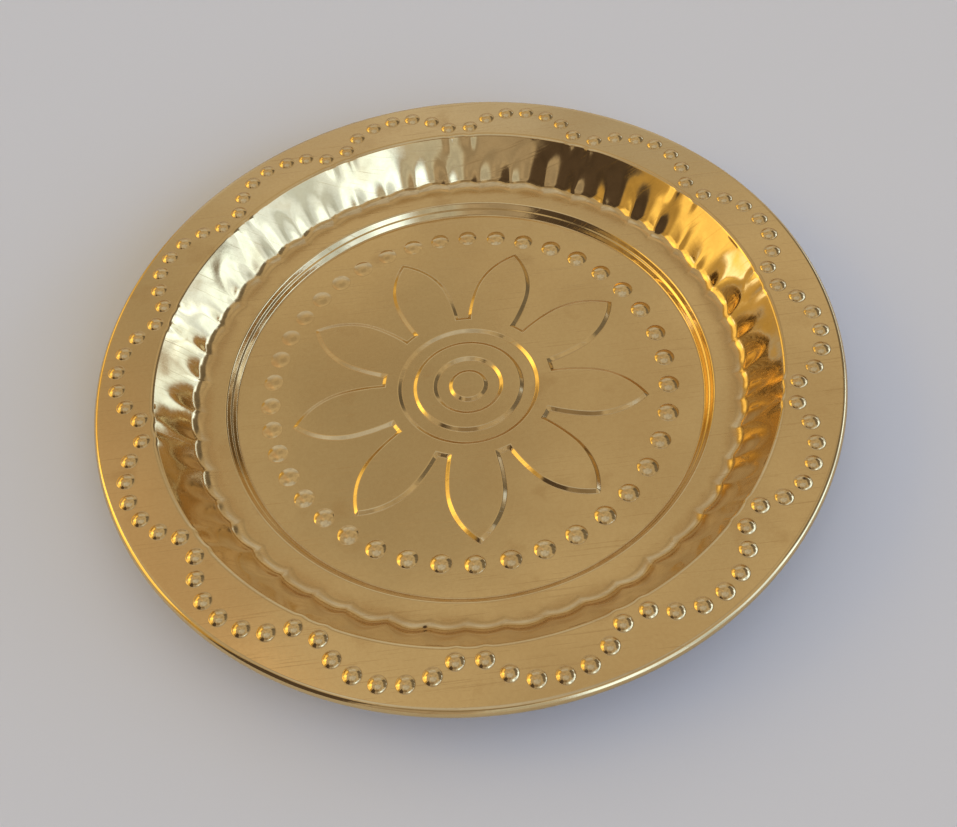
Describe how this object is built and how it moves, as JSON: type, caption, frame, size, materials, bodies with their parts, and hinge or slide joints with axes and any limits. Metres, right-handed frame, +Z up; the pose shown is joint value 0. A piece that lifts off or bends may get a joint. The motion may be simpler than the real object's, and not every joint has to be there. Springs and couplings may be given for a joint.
{
  "type": "puja thali",
  "caption": "Round brass thali pressed from thin sheet: beaded brim over a wired edge, fluted wall, stepped well and a flower in relief on the floor; holds offerings.",
  "frame": {"origin": "centre of the underside of the floor, on the surface that the plate stands on", "axes": "+Z up along the plate's axis, +X to the right and +Y to the far side in the picture"},
  "size_m": [0.15, 0.15, 0.0131],
  "materials": {
    "brass_sheet": "polished, lightly worn",
    "brass_wire": "drawn, satin"
  },
  "bodies": {
    "root": {"pressed_plate": "brass_sheet", "rim_wire": "brass_wire"}
  },
  "joints": []
}
